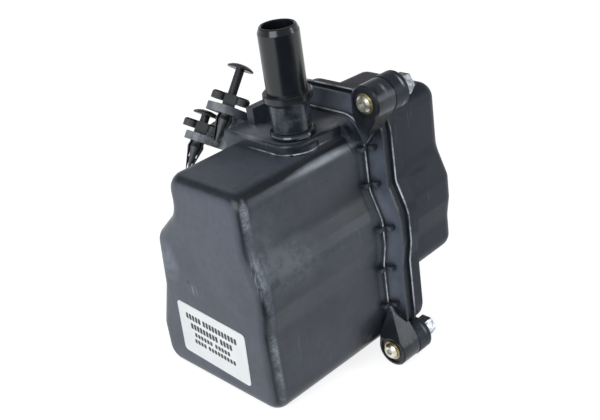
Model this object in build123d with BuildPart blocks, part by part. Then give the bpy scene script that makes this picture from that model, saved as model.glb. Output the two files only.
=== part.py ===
"""Oil catch can for an engine bay.

A moulded tank and a moulded cover meet at a flared flange, held by four screws in headed sleeves.
A hose spigot plugs into a grommet on the tank's deck, and two push clips hang in the bracket behind it.
Millimetres, +Z up. +X runs from the label end to the cover, and +Y to the back, where the bracket is.
The origin is under the middle of the can, level with the lowest screw bosses.
"""

import os
from math import cos, radians, sin

from build123d import *

os.makedirs("parts", exist_ok=True)

# Tank and cover
PARTING_X = 6.5  # plane where the two halves meet
TANK_LENGTH = 87.8  # label face to the parting plane
TANK_HEIGHT = 121.5  # floor to the low part of the top
FLOOR_Z = 9.6  # the tank's flat underside
DECK_RISE = 6.0  # the raised deck above the low top
DECK_LENGTH = 46.5  # deck, back from the parting plane
DECK_FRONT_Y = -33.5
DECK_CORNER = 12.0
DECK_ROUND = 2.0
COVER_DEPTH = 57.0  # parting plane to the cover's end
COVER_FLOOR = 27.0  # the cover's box starts this far above the tank's floor
WALL = 2.8
COVER_DRAFT = 1.4  # how much smaller the cover is at its closed end, per side
TANK_ROUND = 7.0  # edges of the closed ends
COVER_ROUND = 8.0

# Stepped wall section: places in Y, levels above the floor
FRONT_UPPER_Y = -40.0
FRONT_BELLY_Y = -46.5
FRONT_LOWER_Y = -44.3
BACK_UPPER_Y = 14.5
BACK_SHOULDER_Y = 34.0
BACK_WAIST_Y = 37.0
BACK_FOOT_Y = 46.0
BELLY_LEVELS = (48.0, 60.0, 74.0, 90.0)
BACK_LEVELS = (25.0, 52.0)
BACK_DROPS = (39.5, 21.5)  # shoulder and neck, below the low top
CONVEX_R = 10.0
HOLLOW_R = 18.0

# Flange on the tank: a rim that flares out of the wall in a hollow curve, a thin lip and cross ribs
RIM_OUT = 10.3
RIM_BELOW = 4.0  # the rim under the floor
RIM_EDGE = 1.5
RIM_FLARE = 8.0
ROOT_WIDTH = 12.6  # band of wall under the flare
LIP_OUT = 2.6
LIP_BELOW = 1.3
LIP_WIDTH = 1.5
LIP_EDGE = 0.4
LIP_SETBACK = 6.4  # lip's far face to the parting plane
RIB_LEVELS = (23.5, 45.5, 70.0, 93.5, 113.5)
RIB_WIDTH = 2.2
RIB_PROUD = 0.6
RIB_LEAD = 3.6  # ahead of the lip
RIB_HIGH_OUT = 6.4  # the ribs' taller part, behind the lip

# Flange on the cover: plate, thin bead, set-back band
PLATE_STEP = 2.2
PLATE_THICK = 5.6
BEAD_STEP = 0.3
BEAD_WIDTH = 1.5
BEAD_EDGE = 0.5
BAND_STEP = 3.4
BAND_WIDTH = 8.8
BAND_DEEP = 5.0

# Seal in the cover's groove
SEAL_OUT = 5.5
SEAL_BELOW = 1.6
SEAL_WIDTH = 3.0
SEAL_DEPTH = 2.4

# Screws, sleeves and nuts at the four bosses
FRONT_SCREW_Y = -52.0
BACK_UPPER_SCREW_Y = 28.0
BACK_LOWER_SCREW_Y = 52.0
UPPER_SCREW_RISE = 13.5  # front screw above the deck
BACK_SCREW_DROP = 13.5  # back screw below the low top
BOSS_R = 9.0
BOSS_LENGTH = 13.0
UPPER_WEB = 26.0  # from a screw to the tip of its boss web
LOWER_WEB = 20.5
BACK_WEB = 14.0
WEB_START = 6.0  # from a screw to where its web starts to slope back
BOSS_ROOT = 5.5  # thickness of the plate that ties a boss to the rim
EAR_R = 9.3
EAR_LENGTH = 9.5
BOSS_EDGE = 0.7
BOSS_RECESS_R = 7.2  # shallow seat round each sleeve head
BOSS_RECESS = 0.9
SCREW_R = 2.5
HEAD_R = 4.3
HEAD_HEIGHT = 2.2
HEAD_EDGE = 1.1
DRIVE_AF = 3.0
DRIVE_DEPTH = 1.6
SLEEVE_R = 3.8
SLEEVE_BORE_GAP = 0.2
SLEEVE_HEAD_R = 5.2
SLEEVE_HEAD = 0.7
NUT_AF = 10.2
NUT_HEIGHT = 8.5
NUT_FLANGE_R = 5.9
NUT_FLANGE = 1.4
NUT_EDGE = 0.7
SCREW_PAST_NUT = 1.8

# Hose spigot and its grommet
SPIGOT_SETBACK = 33.0  # from the parting plane
SPIGOT_Y = -22.0
HOSE_R = 10.0
HOSE_BORE_R = 7.6
HOSE_LENGTH = 32.1
HOSE_TAPER = 1.0
HOSE_TAPER_LENGTH = 3.0
TIP_EDGE = 0.5
COLLAR_R = 12.1
COLLAR_HEIGHT = 5.6
COLLAR_EDGE = 0.6
NECK_R = 10.0
NECK_FOOT_R = 9.5
NECK_HEIGHT = 13.4
STUB_R = 8.6
STUB_LENGTH = 12.0
GROMMET_BEAD_R = 11.3
GROMMET_BEAD = 3.7
GROMMET_HOLE_R = 10.4
GROMMET_DEPTH = 5.0
SOCKET_R = 12.6
SOCKET_DEPTH = 8.0

# Outlet nipple on the cover's far end
OUTLET_Y = -2.0
OUTLET_RISE = 98.0
OUTLET_LENGTH = 18.0

# Separator inside the cover
BAFFLE_THICK = 2.0
BAFFLE_SETBACK = 1.0
BAFFLE_SEAT = 1.2
BAFFLE_HOLE_R = 4.0
BAFFLE_PITCH = 15.0
BAFFLE_MARGIN = 7.0
PAD_THICK = 22.0
INNER_GAP = 0.3

# Clip bracket: web on the deck, riser and two tongues, square to the clips
CLIP_LEAN = (0.6, 0.0, 0.8)  # from the clip's tip to its head
CLIP_SETBACK = 34.9  # from the parting plane
CLIP_Y = 22.5
CLIP_RISE = 6.8  # upper tongue at its clip, above the deck
CLIP_STEP_Y = 14.0
CLIP_STEP_DOWN = 17.5
TONGUE_R = 6.6
TONGUE_EXTRA = 6.0  # the upper tongue's reach beyond its clip
TONGUE_THICK = 4.2
RISER_SETBACK = 10.0
RISER_THICK = 3.2
RISER_ROUND = 3.0
STAY_Y = 1.0
STAY_THICK = 5.0
STAY_LENGTH = 37.0
STAY_RISE = 10.1
CLIP_HOLE_R = 4.0

# Push clips
CLIP_SHANK_R = 3.7
CLIP_BARB_R = 4.3
CLIP_TIP_R = 1.5
CLIP_REACH = 19.2
CLIP_SLOT = 1.6
CLIP_BLOCK = 6.4
WING_FROM = 2.0
WING_HEIGHT = 4.2
WING_LENGTH = 20.0
WING_WIDTH = 6.4
WING_LOBE = 7.6
WING_EDGE = 0.9
PIN_R = 2.3
PIN_CLEARANCE = 0.05
PIN_REACH = 15.0
PIN_HEAD_R = 6.9
PIN_HEAD_EDGE = 0.8
PIN_HEAD_DOME = 1.9
PIN_NUB = 1.1
UPPER_PIN_OUT = 13.4
LOWER_PIN_OUT = 3.8

# Label on the closed end
LABEL_Y = 0.3
LABEL_Z = 38.0
LABEL_WIDTH = 52.0
LABEL_HEIGHT = 32.0
LABEL_TURN = 3.2  # stuck on by hand, a little askew
LABEL_ROUND = 2.5
LABEL_THICK = 0.2

# Places worked out from the driving sizes
LABEL_X = PARTING_X - TANK_LENGTH
COVER_X = PARTING_X + COVER_DEPTH
TOP_Z = FLOOR_Z + TANK_HEIGHT
DECK_Z = TOP_Z + DECK_RISE
COVER_FLOOR_Z = FLOOR_Z + COVER_FLOOR
LIP_X = PARTING_X - LIP_SETBACK
SPIGOT_X = PARTING_X - SPIGOT_SETBACK
CLIP_X = PARTING_X - CLIP_SETBACK
BOSS_X = PARTING_X - BOSS_LENGTH
SEAT_X = BOSS_X + BOSS_RECESS
EAR_X = PARTING_X + EAR_LENGTH
UPPER_SCREW_Z = DECK_Z + UPPER_SCREW_RISE
BACK_SCREW_Z = TOP_Z - BACK_SCREW_DROP
LOWER_SCREW_Z = EAR_R
REACH = 4 * TANK_HEIGHT
SCREWS = (
    (FRONT_SCREW_Y, UPPER_SCREW_Z),
    (FRONT_SCREW_Y, LOWER_SCREW_Z),
    (BACK_UPPER_SCREW_Y, BACK_SCREW_Z),
    (BACK_LOWER_SCREW_Y, LOWER_SCREW_Z),
)
# Tip of each boss web on the lip, and the point inside the rim that each ear is tied to
WEB_TIPS = (
    (FRONT_UPPER_Y - LIP_OUT, UPPER_SCREW_Z - UPPER_WEB),
    (FRONT_LOWER_Y - LIP_OUT, LOWER_SCREW_Z + LOWER_WEB),
    (BACK_UPPER_Y + LIP_OUT, BACK_SCREW_Z + BACK_WEB),
    (BACK_FOOT_Y - LIP_OUT, LOWER_SCREW_Z + LOWER_WEB),
)
EAR_ROOTS = (
    (FRONT_UPPER_Y + WALL, DECK_Z + RIM_OUT - WALL),
    (FRONT_LOWER_Y + WALL, FLOOR_Z),
    (BACK_UPPER_Y, BACK_SCREW_Z - WALL),
    (BACK_FOOT_Y - WALL, FLOOR_Z),
)


def wall_outline(bottom, top, grow=0.0):
    """The can's stepped section, Y across and Z up, grown outwards by grow."""
    belly_end, belly_low, belly_high, belly_start = (FLOOR_Z + level for level in BELLY_LEVELS)
    foot, waist = (FLOOR_Z + level for level in BACK_LEVELS)
    shoulder, neck = (TOP_Z - drop for drop in BACK_DROPS)
    corners = (
        (FRONT_UPPER_Y, top, CONVEX_R),
        (FRONT_UPPER_Y, belly_start, HOLLOW_R),
        (FRONT_BELLY_Y, belly_high, CONVEX_R),
        (FRONT_BELLY_Y, belly_low, CONVEX_R),
        (FRONT_LOWER_Y, belly_end, HOLLOW_R),
        (FRONT_LOWER_Y, bottom, CONVEX_R),
        (BACK_FOOT_Y, bottom, CONVEX_R),
        (BACK_FOOT_Y, foot, CONVEX_R),
        (BACK_WAIST_Y, waist, HOLLOW_R),
        (BACK_SHOULDER_Y, shoulder, CONVEX_R),
        (BACK_UPPER_Y, neck, HOLLOW_R),
        (BACK_UPPER_Y, top, CONVEX_R),
    )
    with BuildSketch() as section:
        with BuildLine():
            FilletPolyline(*[(y, z) for y, z, _ in corners], radius=[r for _, _, r in corners], close=True)
        make_face()
        if grow:
            offset(amount=grow)
    return section.sketch


def flange_outline(out, below=0.0):
    """The section grown outwards by out on the sides and top, but only by below under the floor."""
    return wall_outline(FLOOR_Z + out - below, DECK_Z, out)


def cover_outline(grow=0.0):
    """The upper part of the section, which the cover's box follows."""
    with BuildSketch() as section:
        add(wall_outline(FLOOR_Z, DECK_Z))
        with Locations((0, COVER_FLOOR_Z)):
            Rectangle(REACH, REACH, align=(Align.CENTER, Align.MIN), mode=Mode.INTERSECT)
        fillet(section.vertices().group_by(Axis.Y)[0], CONVEX_R)
        if grow:
            offset(amount=grow)
    return section.sketch


def hull_outline(place, radius, *anchors):
    """A round pad of the given radius, drawn out to its anchor points."""
    with BuildSketch() as pad:
        with BuildLine():
            CenterArc(place, radius, 0, 360)
            for anchor in anchors:
                Line(anchor, (anchor[0], anchor[1] + WALL))
        make_hull()
    return pad.sketch


def ring_outline(outer, inner):
    """The band between two outlines."""
    with BuildSketch() as band:
        add(outer)
        add(inner, mode=Mode.SUBTRACT)
    return band.sketch


# Rim of the tank's flange: a thin plate at the parting plane that flares out of the wall
with BuildPart() as rim_band:
    with BuildSketch(Plane.YZ.offset(PARTING_X - ROOT_WIDTH)):
        add(wall_outline(FLOOR_Z + RIM_OUT - RIM_BELOW, DECK_Z))
    extrude(amount=ROOT_WIDTH)
    with BuildSketch(Plane.YZ.offset(PARTING_X - RIM_EDGE)):
        add(flange_outline(RIM_OUT, RIM_BELOW))
    extrude(amount=RIM_EDGE)
    rim_face = rim_band.faces().filter_by(Axis.X).sort_by(Axis.X)[1]
    fillet(rim_face.inner_wires()[0].edges(), RIM_FLARE)

# Thin lip along the foot of the flare
with BuildPart() as lip_band:
    with BuildSketch(Plane.YZ.offset(LIP_X)):
        add(flange_outline(LIP_OUT, LIP_BELOW))
    extrude(amount=LIP_WIDTH)
    chamfer(lip_band.faces().filter_by(Axis.X).edges(), LIP_EDGE)

# Cross ribs: short bars over the lip with rounded ends ahead of it, stepped up into the flare behind it
with BuildPart() as cross_ribs:
    for rib_x, rib_out in ((LIP_X - RIB_LEAD, LIP_OUT + RIB_PROUD), (LIP_X + LIP_WIDTH, RIB_HIGH_OUT)):
        with BuildSketch(Plane.YZ.offset(rib_x)):
            with Locations(*[(0, FLOOR_Z + level) for level in RIB_LEVELS]):
                Rectangle(REACH, RIB_WIDTH)
            add(flange_outline(rib_out), mode=Mode.INTERSECT)
        extrude(amount=PARTING_X - RIM_EDGE - rib_x)
    fillet(cross_ribs.edges().filter_by(Axis.Y).group_by(Axis.X)[0], RIB_WIDTH / 3)

# Screw bosses: each has a web whose front slopes back to a tip on the lip, and a plate to the rim
with BuildPart() as bosses:
    for screw, tip, root in zip(SCREWS, WEB_TIPS, EAR_ROOTS):
        away = 1 if tip[1] > screw[1] else -1
        with BuildPart() as boss:
            with BuildSketch(Plane.YZ.offset(BOSS_X)):
                add(hull_outline(screw, BOSS_R, tip))
            extrude(amount=BOSS_LENGTH)
            chamfer(boss.edges().group_by(Axis.X)[0], BOSS_EDGE)
            with BuildSketch(Plane.XZ):
                with BuildLine():
                    Polyline(
                        (BOSS_X, screw[1] + away * WEB_START),
                        (LIP_X, tip[1]),
                        (LIP_X, tip[1] + away * BOSS_R),
                        (BOSS_X - BOSS_R, tip[1] + away * BOSS_R),
                        (BOSS_X - BOSS_R, screw[1] + away * WEB_START),
                        close=True,
                    )
                make_face()
            extrude(amount=REACH, both=True, mode=Mode.SUBTRACT)
            with BuildSketch(Plane.YZ.offset(PARTING_X - BOSS_ROOT)):
                add(hull_outline(screw, BOSS_R, root))
            extrude(amount=BOSS_ROOT)
        add(boss.part)

# Clip bracket: a riser with two tongues, all square to the leaning clips
lean = Vector(*CLIP_LEAN)
across = Vector(0, 1, 0)
ahead = lean.cross(across)  # along the tongues, away from the riser
upper_clip = Vector(CLIP_X, CLIP_Y, DECK_Z + CLIP_RISE)
lower_clip = upper_clip + across * CLIP_STEP_Y - lean * CLIP_STEP_DOWN
upper_tongue = Plane(origin=upper_clip, x_dir=across, z_dir=lean)
lower_tongue = Plane(origin=lower_clip, x_dir=across, z_dir=lean)
riser_plane = Plane(origin=upper_clip - ahead * RISER_SETBACK, x_dir=across, z_dir=ahead * -1)
with BuildPart() as bracket:
    for tongue, extra in ((upper_tongue, TONGUE_EXTRA), (lower_tongue, TONGUE_EXTRA / 6)):
        with BuildSketch(tongue):
            Circle(TONGUE_R)
            with Locations((extra, 0)):
                Circle(TONGUE_R)
            with Locations((extra / 2, TONGUE_R)):
                Rectangle(extra, RISER_SETBACK, align=(Align.CENTER, Align.MAX))
            with Locations((extra / 2, 0)):
                Rectangle(2 * TONGUE_R + extra, RISER_SETBACK, align=(Align.CENTER, Align.MAX))
            Circle(CLIP_HOLE_R, mode=Mode.SUBTRACT)
        extrude(amount=-TONGUE_THICK)
    with BuildSketch(riser_plane) as riser:
        with BuildLine():
            Polyline(
                (STAY_Y - CLIP_Y, 0),
                (TONGUE_R, 0),
                (CLIP_STEP_Y + TONGUE_R, TONGUE_R - CLIP_STEP_DOWN),
                (CLIP_STEP_Y + TONGUE_R, -CLIP_STEP_DOWN - TONGUE_THICK),
                (STAY_Y - CLIP_Y, -CLIP_STEP_DOWN - TONGUE_THICK),
                close=True,
            )
        make_face()
        fillet(riser.vertices().group_by(Axis.X)[-1].sort_by(Axis.Y)[-1], RISER_ROUND)
    extrude(amount=RISER_THICK)

# Tank: one moulding
with BuildPart() as tank:
    with BuildSketch(Plane.YZ.offset(LABEL_X)):
        add(wall_outline(FLOOR_Z, TOP_Z))
    extrude(amount=TANK_LENGTH)
    fillet(tank.faces().sort_by(Axis.X)[0].edges(), TANK_ROUND)
    # raised deck from the flange to the spigot, with a rounded corner round the spigot
    with BuildSketch(Plane.XY.offset(TOP_Z - CONVEX_R)) as deck:
        with Locations((PARTING_X, BACK_UPPER_Y)):
            Rectangle(DECK_LENGTH, BACK_UPPER_Y - DECK_FRONT_Y, align=(Align.MAX, Align.MAX))
        fillet(deck.vertices().sort_by(Axis((0, 0, 0), (1, 1, 0)))[0], DECK_CORNER)
    extrude(amount=CONVEX_R + DECK_RISE)
    deck_edges = tank.faces().sort_by(Axis.Z)[-1].edges()
    fillet(deck_edges.filter_by(lambda edge: edge.center().X < PARTING_X - DECK_ROUND / 2), DECK_ROUND)
    # stay along the deck, which carries the bracket
    with BuildSketch(Plane.XZ.offset(-STAY_Y)):
        with Locations((PARTING_X, DECK_Z - WALL)):
            Rectangle(STAY_LENGTH, WALL + STAY_RISE, align=(Align.MAX, Align.MIN))
    extrude(amount=-STAY_THICK)
    add(bracket.part)
    # rim, lip, ribs and bosses of the flange
    add(rim_band.part)
    add(lip_band.part)
    add(cross_ribs.part)
    add(bosses.part)
    # hollow of the tank and of its deck
    with BuildSketch(Plane.YZ.offset(LABEL_X + WALL)):
        add(wall_outline(FLOOR_Z, TOP_Z, -WALL))
    extrude(amount=TANK_LENGTH - WALL, mode=Mode.SUBTRACT)
    with BuildSketch(Plane.XY.offset(TOP_Z - CONVEX_R)):
        with Locations((PARTING_X, BACK_UPPER_Y - WALL)):
            Rectangle(
                DECK_LENGTH - WALL,
                BACK_UPPER_Y - DECK_FRONT_Y - 2 * WALL,
                align=(Align.MAX, Align.MAX),
            )
    extrude(amount=CONVEX_R + DECK_RISE - WALL, mode=Mode.SUBTRACT)
    # socket for the grommet
    with BuildSketch(Plane.XY.offset(DECK_Z - SOCKET_DEPTH)):
        with Locations((SPIGOT_X, SPIGOT_Y)):
            Circle(SOCKET_R)
    extrude(amount=SOCKET_DEPTH - WALL)
    with BuildSketch(Plane.XY.offset(DECK_Z - SOCKET_DEPTH)):
        with Locations((SPIGOT_X, SPIGOT_Y)):
            Circle(GROMMET_HOLE_R)
    extrude(amount=SOCKET_DEPTH, mode=Mode.SUBTRACT)
    # seats and holes for the sleeves
    with BuildSketch(Plane.YZ.offset(BOSS_X)):
        with Locations(*SCREWS):
            Circle(BOSS_RECESS_R)
    extrude(amount=BOSS_RECESS, mode=Mode.SUBTRACT)
    with BuildSketch(Plane.YZ.offset(SEAT_X)):
        with Locations(*SCREWS):
            Circle(SLEEVE_R)
    extrude(amount=PARTING_X - SEAT_X, mode=Mode.SUBTRACT)

# Course of the seal round the flange
seal_outer = flange_outline(SEAL_OUT + SEAL_WIDTH / 2, SEAL_BELOW + SEAL_WIDTH / 2)
seal_inner = flange_outline(SEAL_OUT - SEAL_WIDTH / 2, SEAL_BELOW - SEAL_WIDTH / 2)
seal_outline = ring_outline(seal_outer, seal_inner)

# Thin bead round the cover's flange
bead_outer = flange_outline(RIM_OUT - BEAD_STEP, RIM_BELOW - BEAD_STEP)
band_outer = flange_outline(RIM_OUT - BAND_STEP, RIM_BELOW - BAND_STEP)
band_inner = flange_outline(RIM_OUT - BAND_STEP - BAND_DEEP, RIM_BELOW - BAND_STEP - BAND_DEEP)
with BuildPart() as bead_ring:
    with BuildSketch(Plane.YZ.offset(PARTING_X + PLATE_THICK)):
        add(bead_outer)
    extrude(amount=BEAD_WIDTH)
    chamfer(bead_ring.faces().filter_by(Axis.X).edges(), BEAD_EDGE)
    with BuildSketch(Plane.YZ.offset(PARTING_X + PLATE_THICK)):
        add(band_inner)
    extrude(amount=BEAD_WIDTH, mode=Mode.SUBTRACT)

# Screw ears of the cover
with BuildPart() as ears:
    for screw, root in zip(SCREWS, EAR_ROOTS):
        with BuildSketch(Plane.YZ.offset(PARTING_X)):
            add(hull_outline(screw, EAR_R, root))
        extrude(amount=EAR_LENGTH)
    chamfer(ears.edges().group_by(Axis.X)[-1], BOSS_EDGE)

# Cover: one moulding
with BuildPart() as cover:
    with BuildSketch(Plane.YZ.offset(PARTING_X)):
        add(cover_outline())
    with BuildSketch(Plane.YZ.offset(COVER_X)):
        add(cover_outline(-COVER_DRAFT))
    loft(ruled=True)
    fillet(cover.faces().sort_by(Axis.X)[-1].edges(), COVER_ROUND)
    # flange plate, thin bead and set-back band
    with BuildSketch(Plane.YZ.offset(PARTING_X)):
        add(flange_outline(RIM_OUT - PLATE_STEP, RIM_BELOW - PLATE_STEP))
    extrude(amount=PLATE_THICK)
    add(bead_ring.part)
    with BuildSketch(Plane.YZ.offset(PARTING_X + PLATE_THICK + BEAD_WIDTH)):
        add(ring_outline(band_outer, band_inner))
    extrude(amount=BAND_WIDTH)
    add(ears.part)
    # outlet nipple, for the same hose as the spigot
    with BuildSketch(Plane.YZ.offset(COVER_X - WALL)):
        with Locations((OUTLET_Y, FLOOR_Z + OUTLET_RISE)):
            Circle(HOSE_R)
    extrude(amount=OUTLET_LENGTH + WALL)
    outlet_end = cover.faces().sort_by(Axis.X)[-1]
    chamfer(outlet_end.edges(), HOSE_TAPER, HOSE_TAPER_LENGTH, reference=outlet_end)
    # hollow of the box, with a rebate for the baffle at its mouth
    with BuildSketch(Plane.YZ.offset(PARTING_X)):
        add(cover_outline(-WALL))
    with BuildSketch(Plane.YZ.offset(COVER_X - WALL)):
        add(cover_outline(-WALL - COVER_DRAFT))
    loft(ruled=True, mode=Mode.SUBTRACT)
    with BuildSketch(Plane.YZ.offset(PARTING_X)):
        add(cover_outline(-WALL + BAFFLE_SEAT))
    extrude(amount=BAFFLE_SETBACK + BAFFLE_THICK, mode=Mode.SUBTRACT)
    with BuildSketch(Plane.YZ.offset(COVER_X - 2 * WALL)):
        with Locations((OUTLET_Y, FLOOR_Z + OUTLET_RISE)):
            Circle(HOSE_BORE_R)
    extrude(amount=OUTLET_LENGTH + 2 * WALL, mode=Mode.SUBTRACT)
    # groove for the seal, and the sleeve holes
    with BuildSketch(Plane.YZ.offset(PARTING_X)):
        add(seal_outline)
    extrude(amount=SEAL_DEPTH, mode=Mode.SUBTRACT)
    with BuildSketch(Plane.YZ.offset(PARTING_X)):
        with Locations(*SCREWS):
            Circle(SLEEVE_R)
    extrude(amount=EAR_LENGTH, mode=Mode.SUBTRACT)

# Seal: a square cord that fills its groove
with BuildPart() as gasket:
    with BuildSketch(Plane.YZ.offset(PARTING_X)):
        add(seal_outline)
    extrude(amount=SEAL_DEPTH)

# Baffle: a perforated plate in the cover's rebate
with BuildPart() as baffle:
    with BuildSketch(Plane.YZ.offset(PARTING_X + BAFFLE_SETBACK)):
        add(cover_outline(-WALL + BAFFLE_SEAT - INNER_GAP))
        with BuildSketch(mode=Mode.PRIVATE) as holes:
            middle = ((FRONT_UPPER_Y + BACK_SHOULDER_Y) / 2, (COVER_FLOOR_Z + DECK_Z) / 2)
            with Locations(middle):
                with GridLocations(BAFFLE_PITCH, BAFFLE_PITCH, 6, 7):
                    Circle(BAFFLE_HOLE_R)
            add(cover_outline(-WALL - BAFFLE_MARGIN), mode=Mode.INTERSECT)
        add(holes.sketch, mode=Mode.SUBTRACT)
    extrude(amount=BAFFLE_THICK)

# Pad of knitted mesh behind the baffle
pad_x = PARTING_X + BAFFLE_SETBACK + BAFFLE_THICK
with BuildPart() as pad:
    with BuildSketch(Plane.YZ.offset(pad_x)):
        add(cover_outline(-WALL - COVER_DRAFT * (pad_x + PAD_THICK - PARTING_X) / COVER_DEPTH - INNER_GAP))
    extrude(amount=PAD_THICK)

# Headed sleeves through the bosses and ears
sleeve_bore = SCREW_R + SLEEVE_BORE_GAP
with BuildPart() as sleeves:
    with BuildSketch(Plane.YZ.offset(SEAT_X)):
        with Locations(*SCREWS):
            Circle(SLEEVE_R)
            Circle(sleeve_bore, mode=Mode.SUBTRACT)
    extrude(amount=EAR_X - SEAT_X)
    with BuildSketch(Plane.YZ.offset(SEAT_X)):
        with Locations(*SCREWS):
            Circle(SLEEVE_HEAD_R)
            Circle(sleeve_bore, mode=Mode.SUBTRACT)
    extrude(amount=-SLEEVE_HEAD)

# Button-head screws with a hexagon drive
head_x = SEAT_X - SLEEVE_HEAD
with BuildPart() as screws:
    with BuildSketch(Plane.YZ.offset(head_x)):
        with Locations(*SCREWS):
            Circle(SCREW_R)
    extrude(amount=EAR_X + NUT_HEIGHT + SCREW_PAST_NUT - head_x)
    with BuildSketch(Plane.YZ.offset(head_x)):
        with Locations(*SCREWS):
            Circle(HEAD_R)
    extrude(amount=-HEAD_HEIGHT)
    chamfer(screws.edges().group_by(Axis.X)[0], HEAD_EDGE)
    with BuildSketch(Plane.YZ.offset(head_x - HEAD_HEIGHT)):
        with Locations(*SCREWS):
            RegularPolygon(DRIVE_AF / 2, 6, major_radius=False)
    extrude(amount=DRIVE_DEPTH, mode=Mode.SUBTRACT)

# Flanged nuts behind the ears
with BuildPart() as nuts:
    with BuildSketch(Plane.YZ.offset(EAR_X)):
        with Locations(*SCREWS):
            Circle(NUT_FLANGE_R)
    extrude(amount=NUT_FLANGE)
    with BuildSketch(Plane.YZ.offset(EAR_X)):
        with Locations(*SCREWS):
            RegularPolygon(NUT_AF / 2, 6, major_radius=False)
    extrude(amount=NUT_HEIGHT)
    chamfer(nuts.edges().group_by(Axis.X)[-1], NUT_EDGE)
    with BuildSketch(Plane.YZ.offset(EAR_X)):
        with Locations(*SCREWS):
            Circle(SCREW_R)
    extrude(amount=NUT_HEIGHT, mode=Mode.SUBTRACT)

# Hose spigot, turned about its own axis: stub, neck, collar, tube
neck_z = DECK_Z + GROMMET_BEAD
collar_z = neck_z + NECK_HEIGHT
tube_z = collar_z + COLLAR_HEIGHT
tip_z = tube_z + HOSE_LENGTH
spigot_axis = Axis((SPIGOT_X, SPIGOT_Y, 0), (0, 0, 1))
spigot_plane = Plane(origin=(SPIGOT_X, SPIGOT_Y, 0), x_dir=(1, 0, 0), z_dir=(0, -1, 0))
with BuildPart() as spigot:
    with BuildSketch(spigot_plane):
        with BuildLine():
            Polyline(
                (HOSE_BORE_R, neck_z - STUB_LENGTH),
                (STUB_R, neck_z - STUB_LENGTH),
                (STUB_R, neck_z),
                (NECK_FOOT_R, neck_z),
                (NECK_R, collar_z),
                (COLLAR_R, collar_z + COLLAR_R - NECK_R),
                (COLLAR_R, tube_z - COLLAR_EDGE),
                (COLLAR_R - COLLAR_EDGE, tube_z),
                (HOSE_R, tube_z),
                (HOSE_R, tip_z - HOSE_TAPER_LENGTH),
                (HOSE_R - HOSE_TAPER, tip_z - TIP_EDGE),
                (HOSE_R - HOSE_TAPER - TIP_EDGE, tip_z),
                (HOSE_BORE_R + TIP_EDGE, tip_z),
                (HOSE_BORE_R, tip_z - TIP_EDGE),
                close=True,
            )
        make_face()
    revolve(axis=spigot_axis)

# Grommet: a rubber bush in the socket with a round bead on the deck
bead_r = GROMMET_BEAD / 2
bead_turns = (radians(turn) for turn in (-90, -60, -30, 0, 30, 60, 90))
bead_points = [
    (GROMMET_BEAD_R - bead_r + bead_r * cos(turn), DECK_Z + bead_r + bead_r * sin(turn)) for turn in bead_turns
]
with BuildPart() as grommet:
    with BuildSketch(spigot_plane):
        with BuildLine():
            Polyline(
                (STUB_R, DECK_Z - GROMMET_DEPTH),
                (GROMMET_HOLE_R, DECK_Z - GROMMET_DEPTH),
                (GROMMET_HOLE_R, DECK_Z),
                *bead_points,
                (STUB_R, neck_z),
                close=True,
            )
        make_face()
    revolve(axis=spigot_axis)

# Push clip, drawn about its own axis with the tongue's face at its zero: two wings, then the split shank
block_top = WING_FROM + WING_HEIGHT
wing_middle = (WING_LENGTH - WING_LOBE) / 2
with BuildPart() as wings:
    with BuildSketch(Plane.XY.offset(WING_FROM)):
        with Locations(Location((0, 0, 0), (0, 0, 45))):
            with Locations((wing_middle, 0), (-wing_middle, 0)):
                SlotOverall(WING_LOBE, WING_WIDTH)
    extrude(amount=WING_HEIGHT)
    chamfer(wings.edges().group_by(Axis.Z)[-1], WING_EDGE)
with BuildPart() as clip_body:
    with BuildSketch(Plane.XZ):
        with BuildLine():
            Polyline(
                (0, 0),
                (CLIP_SHANK_R, 0),
                (CLIP_SHANK_R, -TONGUE_THICK - 1),
                (CLIP_BARB_R, -TONGUE_THICK - 3),
                (CLIP_SHANK_R, -CLIP_REACH / 2),
                (CLIP_TIP_R, -CLIP_REACH),
                (0, -CLIP_REACH),
                close=True,
            )
        make_face()
    revolve(axis=Axis.Z)
    with BuildSketch(Plane.XY.offset(-PIN_REACH - CLIP_SHANK_R)):
        Rectangle(CLIP_SLOT, 2 * CLIP_BARB_R)
        Rectangle(2 * CLIP_BARB_R, CLIP_SLOT)
    extrude(amount=PIN_REACH + CLIP_SHANK_R - TONGUE_THICK, mode=Mode.SUBTRACT)
    with BuildSketch():
        Rectangle(CLIP_BLOCK, CLIP_BLOCK, rotation=45)
    extrude(amount=block_top)
    add(wings.part)
    with BuildSketch(Plane.XY.offset(PIN_R - PIN_REACH)):
        Circle(PIN_R + PIN_CLEARANCE)
    extrude(amount=block_top + PIN_REACH - PIN_R, mode=Mode.SUBTRACT)

# Its pin, pushed home: a domed head on a straight stem, with two small pry nubs under the head
with BuildPart() as clip_pin:
    with BuildSketch(Plane.XZ):
        with BuildLine():
            Polyline(
                (0, block_top),
                (PIN_HEAD_R, block_top),
                (PIN_HEAD_R, block_top + PIN_HEAD_EDGE),
                (PIN_HEAD_R * 0.75, block_top + PIN_HEAD_EDGE + PIN_HEAD_DOME * 0.55),
                (PIN_HEAD_R * 0.4, block_top + PIN_HEAD_EDGE + PIN_HEAD_DOME * 0.9),
                (0, block_top + PIN_HEAD_EDGE + PIN_HEAD_DOME),
                close=True,
            )
        make_face()
    revolve(axis=Axis.Z)
    with BuildSketch(Plane.XY.offset(PIN_R * 2 - PIN_REACH)):
        Circle(PIN_R)
    extrude(amount=block_top + PIN_REACH - PIN_R * 2)
    with BuildSketch(Plane.XY.offset(block_top)):
        with Locations(Location((0, 0, 0), (0, 0, 45))):
            with Locations((0, PIN_HEAD_R - 2 * PIN_NUB), (0, 2 * PIN_NUB - PIN_HEAD_R)):
                Circle(PIN_NUB)
    extrude(amount=-PIN_NUB)

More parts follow.
